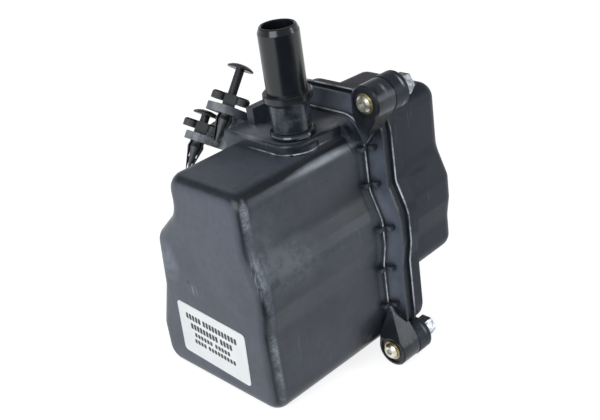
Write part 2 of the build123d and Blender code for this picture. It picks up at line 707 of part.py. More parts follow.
# Label on the closed end
with BuildPart() as sticker:
    with BuildSketch(Plane.YZ.offset(LABEL_X)):
        with Locations((LABEL_Y, LABEL_Z)):
            RectangleRounded(LABEL_WIDTH, LABEL_HEIGHT, LABEL_ROUND, rotation=LABEL_TURN)
    extrude(amount=-LABEL_THICK)

upper_place = Location(upper_tongue)
lower_place = Location(lower_tongue)
pieces = {
    "tank_shell": tank.part,
    "cover_shell": cover.part,
    "flange_gasket": gasket.part,
    "baffle_plate": baffle.part,
    "coalescing_pad": pad.part,
    "flange_screws": screws.part,
    "compression_sleeves": sleeves.part,
    "flange_nuts": nuts.part,
    "hose_spigot": spigot.part,
    "spigot_grommet": grommet.part,
    "upper_clip_body": clip_body.part.moved(upper_place),
    "upper_clip_pin": clip_pin.part.moved(upper_place * Location((0, 0, UPPER_PIN_OUT))),
    "lower_clip_body": clip_body.part.moved(lower_place),
    "lower_clip_pin": clip_pin.part.moved(lower_place * Location((0, 0, LOWER_PIN_OUT))),
    "inspection_label": sticker.part,
}
for name, piece in pieces.items():
    piece.label = name
    export_step(piece, f"parts/{name}.step")
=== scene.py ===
"""An oil catch can for an engine bay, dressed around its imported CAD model.

Black moulded tank and cover, plated screws, rubber grommet, push clips and a plain film label.
"""

import math

import bmesh
import bpy
from mathutils import Matrix, Vector


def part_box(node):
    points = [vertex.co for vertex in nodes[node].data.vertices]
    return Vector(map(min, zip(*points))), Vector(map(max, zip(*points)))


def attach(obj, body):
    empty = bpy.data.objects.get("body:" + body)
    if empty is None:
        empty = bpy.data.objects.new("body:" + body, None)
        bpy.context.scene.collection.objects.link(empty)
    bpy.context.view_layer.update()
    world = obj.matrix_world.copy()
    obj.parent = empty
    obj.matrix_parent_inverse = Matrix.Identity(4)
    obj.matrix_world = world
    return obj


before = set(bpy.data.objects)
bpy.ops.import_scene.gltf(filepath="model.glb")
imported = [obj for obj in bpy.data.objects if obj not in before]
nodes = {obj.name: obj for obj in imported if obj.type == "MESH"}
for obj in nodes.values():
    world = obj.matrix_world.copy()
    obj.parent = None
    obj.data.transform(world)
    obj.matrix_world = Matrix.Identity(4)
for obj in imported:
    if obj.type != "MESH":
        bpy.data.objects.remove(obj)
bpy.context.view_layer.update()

# Tank
# A deep tub injection-moulded in black glass-filled nylon, with a flared flange round its mouth.
# The walls and the flange have a bloom of fine dust and rubs from handling, and the bosses are wiped clean.
# Painted light and painted shade lie in the bloom, and painted highlights lie on the flare, lip, edges and
# deck.
TANK_BLACK = (0.014, 0.016, 0.020)
# the pale dust and the painted light laid with it share this colour
TANK_DUST_AND_PAINTED_LIGHT = (0.104, 0.119, 0.152)
TANK_WORN = (0.24, 0.26, 0.30)
DECK_FOOT = 0.1311
WALL_END_X = -0.0040
FLARE_START_X = -0.0020
LIP_X = (-0.0001, 0.0018)
RIM_X = (0.0052, 0.0058)


def add_node(tree, kind, **settings):
    made = tree.nodes.new(kind)
    for key, value in settings.items():
        setattr(made, key, value)
    return made


def moulded_plastic(name, colour, worn, roughness, grain_depth, rub_amount, gloss=0.3):
    finish = bpy.data.materials.new(name)
    finish.use_nodes = True
    tree = finish.node_tree
    shader = tree.nodes["Principled BSDF"]
    shader.inputs["IOR"].default_value = 1.5
    shader.inputs["Specular IOR Level"].default_value = gloss
    place = add_node(tree, "ShaderNodeTexCoord")
    # cloudy flow marks from the mould
    cloud = add_node(tree, "ShaderNodeTexNoise")
    cloud.inputs["Scale"].default_value = 38.0
    cloud.inputs["Detail"].default_value = 5.0
    cloud.inputs["Roughness"].default_value = 0.6
    tree.links.new(place.outputs["Object"], cloud.inputs["Vector"])
    shade = add_node(tree, "ShaderNodeValToRGB")
    shade.color_ramp.elements[0].position = 0.3
    shade.color_ramp.elements[0].color = (*[c * 0.72 for c in colour], 1.0)
    shade.color_ramp.elements[1].position = 0.72
    shade.color_ramp.elements[1].color = (*[c * 1.3 for c in colour], 1.0)
    tree.links.new(cloud.outputs["Fac"], shade.inputs["Fac"])
    # fine rubs and hairline scratches from handling
    stretch = add_node(tree, "ShaderNodeMapping")
    stretch.inputs["Rotation"].default_value = (0.5, 0.9, 0.4)
    stretch.inputs["Scale"].default_value = (1.0, 1.0, 0.12)
    tree.links.new(place.outputs["Object"], stretch.inputs["Vector"])
    scratch = add_node(tree, "ShaderNodeTexNoise")
    scratch.inputs["Scale"].default_value = 520.0
    scratch.inputs["Detail"].default_value = 3.0
    tree.links.new(stretch.outputs["Vector"], scratch.inputs["Vector"])
    patch = add_node(tree, "ShaderNodeTexNoise")
    patch.inputs["Scale"].default_value = 26.0
    patch.inputs["Detail"].default_value = 3.0
    tree.links.new(place.outputs["Object"], patch.inputs["Vector"])
    scratch_edge = add_node(tree, "ShaderNodeMapRange")
    scratch_edge.inputs["From Min"].default_value = 0.60
    scratch_edge.inputs["From Max"].default_value = 0.74
    tree.links.new(scratch.outputs["Fac"], scratch_edge.inputs["Value"])
    patch_edge = add_node(tree, "ShaderNodeMapRange")
    patch_edge.inputs["From Min"].default_value = 0.50
    patch_edge.inputs["From Max"].default_value = 0.72
    patch_edge.inputs["To Max"].default_value = rub_amount
    tree.links.new(patch.outputs["Fac"], patch_edge.inputs["Value"])
    rub = add_node(tree, "ShaderNodeMath", operation="MULTIPLY")
    tree.links.new(scratch_edge.outputs["Result"], rub.inputs[0])
    tree.links.new(patch_edge.outputs["Result"], rub.inputs[1])
    tone = add_node(tree, "ShaderNodeMix", data_type="RGBA")
    tone.inputs["B"].default_value = (*worn, 1.0)
    tree.links.new(rub.outputs["Value"], tone.inputs["Factor"])
    tree.links.new(shade.outputs["Color"], tone.inputs["A"])
    tree.links.new(tone.outputs["Result"], shader.inputs["Base Color"])
    # satin that is a little smoother in some places than in others
    sheen = add_node(tree, "ShaderNodeMapRange")
    sheen.inputs["From Min"].default_value = 0.25
    sheen.inputs["From Max"].default_value = 0.75
    sheen.inputs["To Min"].default_value = roughness - 0.07
    sheen.inputs["To Max"].default_value = roughness + 0.09
    tree.links.new(cloud.outputs["Fac"], sheen.inputs["Value"])
    tree.links.new(sheen.outputs["Result"], shader.inputs["Roughness"])
    # eroded grain of the mould face
    grain = add_node(tree, "ShaderNodeTexNoise")
    grain.inputs["Scale"].default_value = 1700.0
    grain.inputs["Detail"].default_value = 2.0
    tree.links.new(place.outputs["Object"], grain.inputs["Vector"])
    relief = add_node(tree, "ShaderNodeBump")
    relief.inputs["Strength"].default_value = 0.35
    relief.inputs["Distance"].default_value = grain_depth
    tree.links.new(grain.outputs["Fac"], relief.inputs["Height"])
    tree.links.new(relief.outputs["Normal"], shader.inputs["Normal"])
    return finish


def dress(node, finish):
    mesh = nodes[node].data
    mesh.materials.clear()
    mesh.materials.append(finish)


def spot(tree, place, middle, reach):
    """One inside an ellipsoid about middle, fading to nothing at its reach."""
    shift = add_node(tree, "ShaderNodeVectorMath", operation="SUBTRACT")
    shift.inputs[1].default_value = middle
    tree.links.new(place.outputs["Object"], shift.inputs[0])
    squeeze = add_node(tree, "ShaderNodeVectorMath", operation="DIVIDE")
    squeeze.inputs[1].default_value = reach
    tree.links.new(shift.outputs["Vector"], squeeze.inputs[0])
    far = add_node(tree, "ShaderNodeVectorMath", operation="LENGTH")
    tree.links.new(squeeze.outputs["Vector"], far.inputs[0])
    fade = add_node(tree, "ShaderNodeMapRange")
    fade.inputs["From Min"].default_value = 1.0
    fade.inputs["From Max"].default_value = 0.35
    tree.links.new(far.outputs["Value"], fade.inputs["Value"])
    return fade.outputs["Result"]


def blend_in(tree, mask, colour):
    """Lays a colour over the finish where the mask is one."""
    shader = tree.nodes["Principled BSDF"]
    under = shader.inputs["Base Color"].links[0].from_socket
    layer = add_node(tree, "ShaderNodeMix", data_type="RGBA")
    layer.inputs["B"].default_value = (*colour, 1.0)
    tree.links.new(mask, layer.inputs["Factor"])
    tree.links.new(under, layer.inputs["A"])
    tree.links.new(layer.outputs["Result"], shader.inputs["Base Color"])


def times(tree, first, second):
    product = add_node(tree, "ShaderNodeMath", operation="MULTIPLY")
    tree.links.new(first, product.inputs[0])
    tree.links.new(second, product.inputs[1])
    return product.outputs["Value"]


def ramp(tree, value, low, high, at_low=0.0, at_high=1.0):
    """Runs from at_low to at_high as the value goes from low to high."""
    slope = add_node(tree, "ShaderNodeMapRange", interpolation_type="SMOOTHSTEP")
    slope.inputs["From Min"].default_value = low
    slope.inputs["From Max"].default_value = high
    slope.inputs["To Min"].default_value = at_low
    slope.inputs["To Max"].default_value = at_high
    tree.links.new(value, slope.inputs["Value"])
    return slope.outputs["Result"]


def noise(tree, place, scale, detail, roughness):
    speckle = add_node(tree, "ShaderNodeTexNoise")
    speckle.inputs["Scale"].default_value = scale
    speckle.inputs["Detail"].default_value = detail
    speckle.inputs["Roughness"].default_value = roughness
    tree.links.new(place.outputs["Object"], speckle.inputs["Vector"])
    return speckle.outputs["Fac"]


def parts(tree, vector):
    split = add_node(tree, "ShaderNodeSeparateXYZ")
    tree.links.new(vector, split.inputs["Vector"])
    return split.outputs["X"], split.outputs["Y"], split.outputs["Z"]


def flatness(tree, place):
    """One on a face square to an axis, less on rounded and chamfered edges."""
    size = add_node(tree, "ShaderNodeVectorMath", operation="ABSOLUTE")
    tree.links.new(place.outputs["Normal"], size.inputs[0])
    size_x, size_y, size_z = parts(tree, size.outputs["Vector"])
    wider = add_node(tree, "ShaderNodeMath", operation="MAXIMUM")
    tree.links.new(size_x, wider.inputs[0])
    tree.links.new(size_y, wider.inputs[1])
    widest = add_node(tree, "ShaderNodeMath", operation="MAXIMUM")
    tree.links.new(wider.outputs["Value"], widest.inputs[0])
    tree.links.new(size_z, widest.inputs[1])
    return widest.outputs["Value"]


def openness(tree, reach):
    """One in the open, less in a corner or beside a wall."""
    around = add_node(tree, "ShaderNodeAmbientOcclusion", samples=8, only_local=True)
    around.inputs["Distance"].default_value = reach
    return around.outputs["AO"]


def dust_and_painted_light(finish, colour, clean_spots, painted_light_spots, roughness):
    """Pale dust on the open walls, laid with painted light and shade: paler on faces turned to the closed end
    and on tops, painted shade on rounded edges, in corners and on the deck's sides, and a painted highlight
    on the crest of the flare. The bosses are wiped clean.
    """
    tree = finish.node_tree
    shader = tree.nodes["Principled BSDF"]
    place = add_node(tree, "ShaderNodeTexCoord")
    faces_x, _, faces_z = parts(tree, place.outputs["Normal"])
    along_x, along_y, along_z = parts(tree, place.outputs["Object"])
    # painted shade on rounded and chamfered edges, painted light on faces turned to the closed end and on
    # tops
    dust_and_light = ramp(tree, flatness(tree, place), 0.78, 0.97, 0.16, 1.0)
    dust_and_light = times(tree, dust_and_light, ramp(tree, faces_x, -0.5, -0.95, 0.66, 0.92))
    dust_and_light = times(tree, dust_and_light, ramp(tree, faces_z, 0.80, 0.97, 1.0, 1.45))
    # painted shade on the deck's low sides, as dark as its top
    above_foot = ramp(tree, along_z, DECK_FOOT, DECK_FOOT + 0.0006)
    painted_shade_deck_side = times(tree, above_foot, ramp(tree, faces_z, 0.7, 0.3))
    dust_and_light = times(tree, dust_and_light, ramp(tree, painted_shade_deck_side, 0.0, 1.0, 1.0, 0.45))
    # darker towards the front, and painted shade in corners and beside walls
    dust_and_light = times(tree, dust_and_light, ramp(tree, along_y, -0.045, 0.030, 0.84, 1.0))
    dust_and_light = times(tree, dust_and_light, ramp(tree, openness(tree, 0.012), 0.45, 0.95, 0.35, 1.0))
    dust_and_light = times(tree, dust_and_light, ramp(tree, along_x, WALL_END_X, FLARE_START_X, 1.0, 0.0))
    # painted light on the flare: palest where it is open and turned to the closed end
    painted_crest_light = ramp(tree, openness(tree, 0.007), 0.55, 0.93, 0.20, 1.0)
    painted_crest_light = times(tree, painted_crest_light, ramp(tree, faces_x, -0.30, -0.93, 0.72, 1.15))
    painted_crest_light = times(tree, painted_crest_light, ramp(tree, along_x, WALL_END_X, FLARE_START_X))
    painted_crest_light = times(tree, painted_crest_light, ramp(tree, along_x, *RIM_X, 1.0, 0.0))
    either = add_node(tree, "ShaderNodeMath", operation="ADD")
    tree.links.new(painted_crest_light, either.inputs[0])
    tree.links.new(dust_and_light, either.inputs[1])
    clouds = ramp(tree, noise(tree, place, 24.0, 8.0, 0.62), 0.32, 0.66, 0.62, 1.0)
    specks = ramp(tree, noise(tree, place, 260.0, 4.0, 0.6), 0.30, 0.60, 0.82, 1.0)
    dust_and_light = times(tree, times(tree, either.outputs["Value"], clouds), specks)
    for middle, reach in clean_spots:
        dust_and_light = times(tree, dust_and_light, ramp(tree, spot(tree, place, middle, reach), 0.0, 1.0, 1.0, 0.05))
    # painted light on the given places
    for middle, reach in painted_light_spots:
        more = add_node(tree, "ShaderNodeMath", operation="MAXIMUM")
        tree.links.new(dust_and_light, more.inputs[0])
        tree.links.new(ramp(tree, spot(tree, place, middle, reach), 0.0, 1.0, 0.0, 0.9), more.inputs[1])
        dust_and_light = more.outputs["Value"]
    blend_in(tree, dust_and_light, colour)
    under = shader.inputs["Roughness"].links[0].from_socket
    dull = add_node(tree, "ShaderNodeMix")
    dull.inputs["B"].default_value = roughness
    tree.links.new(dust_and_light, dull.inputs["Factor"])
    tree.links.new(under, dull.inputs["A"])
    tree.links.new(dull.outputs["Result"], shader.inputs["Roughness"])


def rub_and_painted_highlight_ridge(finish, colour, end_x):
    """A pale rub and a painted highlight along the crest of the upright corners at the closed end, broken up
    along its length.
    """
    tree = finish.node_tree
    place = add_node(tree, "ShaderNodeTexCoord")
    faces_x, faces_y, _ = parts(tree, place.outputs["Normal"])
    along_x = parts(tree, place.outputs["Object"])[0]
    rub = times(tree, ramp(tree, faces_y, -0.62, -0.84), ramp(tree, faces_x, -0.10, -0.34))
    rub = times(tree, rub, ramp(tree, along_x, end_x + 0.016, end_x + 0.008))
    rub = times(tree, rub, ramp(tree, noise(tree, place, 44.0, 5.0, 0.65), 0.38, 0.62, 0.22, 1.0))
    rub = times(tree, rub, ramp(tree, noise(tree, place, 900.0, 3.0, 0.6), 0.35, 0.62, 0.45, 1.0))
    blend_in(tree, rub, colour)


def scuffs(finish, middle, reach, lean, colour):
    """A patch of fine parallel scratches."""
    tree = finish.node_tree
    place = add_node(tree, "ShaderNodeTexCoord")
    comb = add_node(tree, "ShaderNodeMapping")
    comb.inputs["Rotation"].default_value = lean
    comb.inputs["Scale"].default_value = (1.0, 1.0, 0.10)
    tree.links.new(place.outputs["Object"], comb.inputs["Vector"])
    strokes = add_node(tree, "ShaderNodeTexNoise")
    strokes.inputs["Scale"].default_value = 900.0
    strokes.inputs["Detail"].default_value = 3.0
    tree.links.new(comb.outputs["Vector"], strokes.inputs["Vector"])
    edge = add_node(tree, "ShaderNodeMapRange")
    edge.inputs["From Min"].default_value = 0.50
    edge.inputs["From Max"].default_value = 0.62
    tree.links.new(strokes.outputs["Fac"], edge.inputs["Value"])
    blend_in(tree, times(tree, edge.outputs["Result"], spot(tree, place, middle, reach)), colour)


def soft_patch(finish, middle, reach, colour, least=0.2):
    """A soft patch of colour, broken up down to the least of its strength. It lays painted light, painted
    shade and plain paler patches.
    """
    tree = finish.node_tree
    place = add_node(tree, "ShaderNodeTexCoord")
    broken = ramp(tree, noise(tree, place, 150.0, 6.0, 0.7), 0.36, 0.62, least, 1.0)
    blend_in(tree, times(tree, broken, spot(tree, place, middle, reach)), colour)


def footed_painted_shade(finish, middle, reach, foot, colour):
    """Painted shade: a dark patch that stops sharply at its foot and fades upwards."""
    tree = finish.node_tree
    place = add_node(tree, "ShaderNodeTexCoord")
    along_x, _, along_z = parts(tree, place.outputs["Object"])
    mask = times(tree, spot(tree, place, middle, reach), ramp(tree, along_z, foot - 0.0005, foot + 0.0005))
    on_wall = ramp(tree, along_x, WALL_END_X, FLARE_START_X, 1.0, 0.0)
    blend_in(tree, times(tree, mask, on_wall), colour)


def painted_foot_highlight(finish, foot, middle, reach, colour):
    """A thin painted highlight along the foot of a raised side."""
    tree = finish.node_tree
    place = add_node(tree, "ShaderNodeTexCoord")
    along_z = parts(tree, place.outputs["Object"])[2]
    over_foot = ramp(tree, along_z, foot + 0.0001, foot + 0.0003)
    under_top = ramp(tree, along_z, foot + 0.0010, foot + 0.0006)
    line = times(tree, over_foot, under_top)
    line = times(tree, line, ramp(tree, noise(tree, place, 160.0, 3.0, 0.6), 0.36, 0.60, 0.15, 1.0))
    blend_in(tree, times(tree, line, spot(tree, place, middle, reach)), colour)


def painted_edge_highlight(finish, from_x, to_x, colour, clean_spots):
    """A thin painted highlight on the chamfers of a lip or bead, broken up along its length."""
    tree = finish.node_tree
    place = add_node(tree, "ShaderNodeTexCoord")
    along_x = parts(tree, place.outputs["Object"])[0]
    line = times(tree, ramp(tree, along_x, from_x, from_x + 0.0001), ramp(tree, along_x, to_x, to_x - 0.0001))
    line = times(tree, line, ramp(tree, flatness(tree, place), 0.96, 0.82))
    line = times(tree, line, ramp(tree, noise(tree, place, 120.0, 3.0, 0.6), 0.34, 0.58, 0.25, 1.0))
    for middle, reach in clean_spots:
        line = times(tree, line, ramp(tree, spot(tree, place, middle, reach), 0.0, 1.0, 1.0, 0.0))
    blend_in(tree, line, colour)


tank_plastic = moulded_plastic("tank_plastic", TANK_BLACK, TANK_WORN, 0.24, 0.00006, 0.5)
wiped_bosses = (
    ((-0.004, -0.052, 0.1430), (0.040, 0.016, 0.030)),
    ((-0.004, -0.052, 0.0150), (0.040, 0.016, 0.026)),
)
# painted light on the bracket's tongues
painted_light_tongues = (((-0.036, 0.030, 0.136), (0.026, 0.030, 0.024)),)
dust_and_painted_light(tank_plastic, TANK_DUST_AND_PAINTED_LIGHT, wiped_bosses, painted_light_tongues, 0.44)
# a pale rub and a painted highlight on the closed end's upright corners
rub_and_painted_highlight_ridge(tank_plastic, (0.28, 0.305, 0.345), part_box("tank_shell")[0][0])
# a painted highlight along the lip
painted_edge_highlight(tank_plastic, *LIP_X, (0.56, 0.58, 0.62), wiped_bosses)
# two paler patches on the front wall, and painted shade: a dark wedge that runs to the flange
soft_patch(tank_plastic, (-0.0720, -0.0450, 0.1000), (0.016, 0.010, 0.030), (0.120, 0.142, 0.165))
soft_patch(tank_plastic, (-0.0560, -0.0450, 0.0880), (0.020, 0.010, 0.016), (0.115, 0.130, 0.155))
footed_painted_shade(tank_plastic, (0.0040, -0.0420, 0.0920), (0.058, 0.024, 0.0220), 0.0900, (0.022, 0.025, 0.031))
# a paler patch on the closed end, painted light on the bracket and its upper tongue, and the painted shade of
# a small pit
soft_patch(tank_plastic, (-0.0820, 0.0260, 0.0780), (0.006, 0.010, 0.014), (0.170, 0.190, 0.225))
soft_patch(tank_plastic, (-0.0270, 0.0350, 0.1250), (0.026, 0.022, 0.021), (0.54, 0.545, 0.55))
soft_patch(tank_plastic, (-0.0340, 0.0230, 0.1450), (0.014, 0.012, 0.012), (0.28, 0.285, 0.29))
soft_patch(tank_plastic, (-0.0813, 0.0119, 0.0703), (0.002, 0.0011, 0.0011), (0.004, 0.004, 0.004))
# painted highlights on the top front edge, in two places on the deck and in a line round its foot
soft_patch(tank_plastic, (-0.0250, -0.0385, 0.1262), (0.028, 0.006, 0.0023), (0.29, 0.315, 0.35), 0.75)
soft_patch(tank_plastic, (-0.0340, -0.0040, 0.1371), (0.011, 0.013, 0.002), (0.26, 0.27, 0.29), 0.6)
soft_patch(tank_plastic, (-0.0080, -0.0285, 0.1371), (0.011, 0.009, 0.002), (0.27, 0.275, 0.285), 0.6)
painted_foot_highlight(tank_plastic, DECK_FOOT, (-0.0335, -0.0250, 0.1314), (0.022, 0.024, 0.004), (0.60, 0.63, 0.68))
# scratches on the upright corner and beside the pit
scuffs(tank_plastic, (-0.0790, -0.0440, 0.096), (0.006, 0.006, 0.020), (0.0, 0.25, 0.0), TANK_WORN)
scuffs(tank_plastic, (-0.0813, 0.0085, 0.0665), (0.002, 0.0035, 0.0045), (0.7, 0.0, 0.0), TANK_WORN)
dress("tank_shell", tank_plastic)

# Grommet
# A turned-over bush of black nitrile rubber, pressed into the deck and wiped with oil for fitting.
# Its round bead is glossy where the spigot squeezes it.
RUBBER_BLACK = (0.007, 0.009, 0.013)
RUBBER_WORN = (0.03, 0.03, 0.03)
grommet_rubber = moulded_plastic("grommet_rubber", RUBBER_BLACK, RUBBER_WORN, 0.18, 0.00003, 0.2, 0.9)
grommet_shader = grommet_rubber.node_tree.nodes["Principled BSDF"]
grommet_shader.inputs["Specular Tint"].default_value = (0.78, 0.89, 1.0, 1.0)
dress("spigot_grommet", grommet_rubber)

# Hose spigot
# A plain nylon tube with a shoulder, polished in the mould so that the hose slides on.
# It is pushed into the grommet and turns in it a little.
SPIGOT_BLACK = (0.008, 0.010, 0.013)
SPIGOT_WORN = (0.06, 0.06, 0.063)
spigot_plastic = moulded_plastic("spigot_plastic", SPIGOT_BLACK, SPIGOT_WORN, 0.20, 0.00003, 0.5, 0.5)
soft_patch(spigot_plastic, (-0.0265, -0.0220, 0.1480), (0.020, 0.020, 0.015), (0.080, 0.092, 0.112))
dress("hose_spigot", spigot_plastic)

# Baffle and pad inside the cover
# A perforated nylon plate that sits in a rebate and holds the pad of knitted steel wire behind it.
baffle_plastic = moulded_plastic("baffle_plastic", (0.03, 0.03, 0.03), (0.07, 0.07, 0.07), 0.55, 0.00005, 0.3)
dress("baffle_plate", baffle_plastic)
pad_mesh = bpy.data.materials.new("pad_mesh")
pad_mesh.use_nodes = True
pad_tree = pad_mesh.node_tree
pad_shader = pad_tree.nodes["Principled BSDF"]
pad_shader.inputs["Metallic"].default_value = 0.8
pad_shader.inputs["Roughness"].default_value = 0.42
pad_place = add_node(pad_tree, "ShaderNodeTexCoord")
pad_knit = add_node(pad_tree, "ShaderNodeTexVoronoi")
pad_knit.inputs["Scale"].default_value = 520.0
pad_tree.links.new(pad_place.outputs["Object"], pad_knit.inputs["Vector"])
pad_tone = add_node(pad_tree, "ShaderNodeValToRGB")
pad_tone.color_ramp.elements[0].color = (0.05, 0.05, 0.048, 1.0)
pad_tone.color_ramp.elements[1].color = (0.55, 0.54, 0.51, 1.0)
pad_tree.links.new(pad_knit.outputs["Distance"], pad_tone.inputs["Fac"])
pad_tree.links.new(pad_tone.outputs["Color"], pad_shader.inputs["Base Color"])
pad_relief = add_node(pad_tree, "ShaderNodeBump")
pad_relief.inputs["Distance"].default_value = 0.0004
pad_tree.links.new(pad_knit.outputs["Distance"], pad_relief.inputs["Height"])
pad_tree.links.new(pad_relief.outputs["Normal"], pad_shader.inputs["Normal"])
dress("coalescing_pad", pad_mesh)

# Seal
# A square cord of black rubber, laid in the cover's groove and squeezed by the tank's rim.
seal_rubber = moulded_plastic("seal_rubber", (0.012, 0.012, 0.012), (0.03, 0.03, 0.03), 0.62, 0.00004, 0.2)
dress("flange_gasket", seal_rubber)

# Cover
# The second moulding, in the same nylon, with an outer bead, screw ears and the outlet nipple.
# It has been handled less than the tank and is a shade darker. Painted shade marks one crease on its front.
BEAD_X = (0.0119, 0.0133)
cover_plastic = moulded_plastic("cover_plastic", (0.030, 0.037, 0.050), TANK_WORN, 0.40, 0.00006, 0.6, 0.15)
# a painted highlight along the bead
painted_edge_highlight(cover_plastic, *BEAD_X, (0.64, 0.66, 0.70), wiped_bosses)
# painted shade of the crease on the cover's front
soft_patch(cover_plastic, (0.0395, -0.0387, 0.0938), (0.010, 0.006, 0.0026), (0.003, 0.003, 0.004), 0.6)
dress("cover_shell", cover_plastic)

# Sleeves, screws and nuts
# Turned brass sleeves take the clamping load, so that the nylon bosses don't creep.
# The screws are steel with a pale yellow passivated plating, and the flanged nuts are dull zinc.


def plated_metal(name, colour, dull, roughness):
    finish = bpy.data.materials.new(name)
    finish.use_nodes = True
    tree = finish.node_tree
    shader = tree.nodes["Principled BSDF"]
    shader.inputs["Metallic"].default_value = 1.0
    place = add_node(tree, "ShaderNodeTexCoord")
    tarnish = add_node(tree, "ShaderNodeTexNoise")
    tarnish.inputs["Scale"].default_value = 420.0
    tarnish.inputs["Detail"].default_value = 4.0
    tree.links.new(place.outputs["Object"], tarnish.inputs["Vector"])
    tone = add_node(tree, "ShaderNodeValToRGB")
    tone.color_ramp.elements[0].position = 0.32
    tone.color_ramp.elements[0].color = (*dull, 1.0)
    tone.color_ramp.elements[1].position = 0.62
    tone.color_ramp.elements[1].color = (*colour, 1.0)
    tree.links.new(tarnish.outputs["Fac"], tone.inputs["Fac"])
    tree.links.new(tone.outputs["Color"], shader.inputs["Base Color"])
    polish = add_node(tree, "ShaderNodeMapRange")
    polish.inputs["To Min"].default_value = roughness + 0.12
    polish.inputs["To Max"].default_value = roughness - 0.05
    tree.links.new(tarnish.outputs["Fac"], polish.inputs["Value"])
    tree.links.new(polish.outputs["Result"], shader.inputs["Roughness"])
    turning = add_node(tree, "ShaderNodeTexNoise")
    turning.inputs["Scale"].default_value = 2600.0
    tree.links.new(place.outputs["Object"], turning.inputs["Vector"])
    relief = add_node(tree, "ShaderNodeBump")
    relief.inputs["Strength"].default_value = 0.25
    relief.inputs["Distance"].default_value = 0.00003
    tree.links.new(turning.outputs["Fac"], relief.inputs["Height"])
    tree.links.new(relief.outputs["Normal"], shader.inputs["Normal"])
    return finish


dress("compression_sleeves", plated_metal("sleeve_brass", (0.50, 0.42, 0.22), (0.22, 0.18, 0.09), 0.36))
dress("flange_screws", plated_metal("screw_steel", (0.80, 0.78, 0.70), (0.42, 0.40, 0.33), 0.32))
dress("flange_nuts", plated_metal("nut_steel", (0.36, 0.37, 0.39), (0.10, 0.10, 0.11), 0.26))

# Screw threads
# The rolled thread on the end of each screw, a ridge that winds out of its nut.
SCREW_PLACES = ((-0.0520, 0.1506), (-0.0520, 0.0093), (0.0280, 0.1176), (0.0520, 0.0093))
THREAD_PITCH = 0.0008
THREAD_ROOT = 0.00235
THREAD_CREST = 0.00268
THREAD_SECTION = (
    (THREAD_ROOT, -0.45),
    (THREAD_CREST, -0.08),
    (THREAD_CREST, 0.08),
    (THREAD_ROOT, 0.45),
)
TURN_STEPS = 40
thread_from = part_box("flange_nuts")[1][0] - THREAD_PITCH
thread_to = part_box("flange_screws")[1][0] - THREAD_PITCH / 2
thread_steps = int((thread_to - thread_from) / THREAD_PITCH * TURN_STEPS)
thread_shape = bmesh.new()
for screw_y, screw_z in SCREW_PLACES:
    rings = []
    for step in range(thread_steps + 1):
        turn_angle = 2 * math.pi * step / TURN_STEPS
        thread_x = thread_from + THREAD_PITCH * step / TURN_STEPS
        ring = []
        for radius, lead in THREAD_SECTION:
            place = (
                thread_x + lead * THREAD_PITCH,
                screw_y + radius * math.cos(turn_angle),
                screw_z + radius * math.sin(turn_angle),
            )
            ring.append(thread_shape.verts.new(place))
        rings.append(ring)
    for before, after in zip(rings, rings[1:]):
        for corner in range(4):
            beside = (corner + 1) % 4
            thread_shape.faces.new((before[corner], before[beside], after[beside], after[corner]))
    thread_shape.faces.new(rings[0])
    thread_shape.faces.new(rings[-1])
bmesh.ops.recalc_face_normals(thread_shape, faces=thread_shape.faces)
thread_mesh = bpy.data.meshes.new("screw_threads")
thread_shape.to_mesh(thread_mesh)
thread_shape.free()
screw_threads = bpy.data.objects.new("screw_threads", thread_mesh)
bpy.context.scene.collection.objects.link(screw_threads)
thread_mesh.materials.append(nodes["flange_screws"].data.materials[0])
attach(screw_threads, "can")

# Push clips
# Two acetal rivets in the bracket's tongues: a winged body with split legs, and a pin that spreads them.
clip_plastic = moulded_plastic("clip_plastic", (0.016, 0.017, 0.019), TANK_WORN, 0.40, 0.00004, 0.4)
pin_plastic = moulded_plastic("pin_plastic", (0.014, 0.015, 0.017), TANK_WORN, 0.38, 0.00004, 0.4)


def painted_light_side(finish, colour, amount):
    """Painted light on the side turned to the closed end of the can."""
    tree = finish.node_tree
    place = add_node(tree, "ShaderNodeTexCoord")
    faces_x = parts(tree, place.outputs["Normal"])[0]
    clouds = ramp(tree, noise(tree, place, 200.0, 5.0, 0.6), 0.3, 0.6, 0.5, amount)
    blend_in(tree, times(tree, ramp(tree, faces_x, -0.25, -0.85), clouds), colour)


# painted light on the clips' sides turned to the closed end
painted_light_side(clip_plastic, (0.085, 0.090, 0.098), 0.9)
painted_light_side(pin_plastic, (0.060, 0.064, 0.070), 0.7)
for clip in ("upper_clip_body", "lower_clip_body"):
    dress(clip, clip_plastic)
for pin in ("upper_clip_pin", "lower_clip_pin"):
    dress(pin, pin_plastic)

# Label
# White polyester film with a rounded die-cut outline, stuck low on the closed end of the tank.
# Its print is four rows of plain grey blocks, each a thin closed slip of ink.
label_film = bpy.data.materials.new("label_film")
label_film.use_nodes = True
film_tree = label_film.node_tree
film_shader = film_tree.nodes["Principled BSDF"]
film_shader.inputs["Roughness"].default_value = 0.42
film_place = add_node(film_tree, "ShaderNodeTexCoord")
film_cloud = add_node(film_tree, "ShaderNodeTexNoise")
film_cloud.inputs["Scale"].default_value = 60.0
film_cloud.inputs["Detail"].default_value = 4.0
film_tree.links.new(film_place.outputs["Object"], film_cloud.inputs["Vector"])
film_tone = add_node(film_tree, "ShaderNodeValToRGB")
film_tone.color_ramp.elements[0].position = 0.3
film_tone.color_ramp.elements[0].color = (0.90, 0.90, 0.89, 1.0)
film_tone.color_ramp.elements[1].position = 0.6
film_tone.color_ramp.elements[1].color = (0.96, 0.96, 0.955, 1.0)
film_tree.links.new(film_cloud.outputs["Fac"], film_tone.inputs["Fac"])
film_tree.links.new(film_tone.outputs["Color"], film_shader.inputs["Base Color"])
dress("inspection_label", label_film)
LABEL_MIDDLE = (0.0003, 0.038)
LABEL_TURN = math.radians(3.2)
INK_RAISE = 0.00004
BLOCK_PITCH = 0.0024
BLOCK_GAP = 0.0006
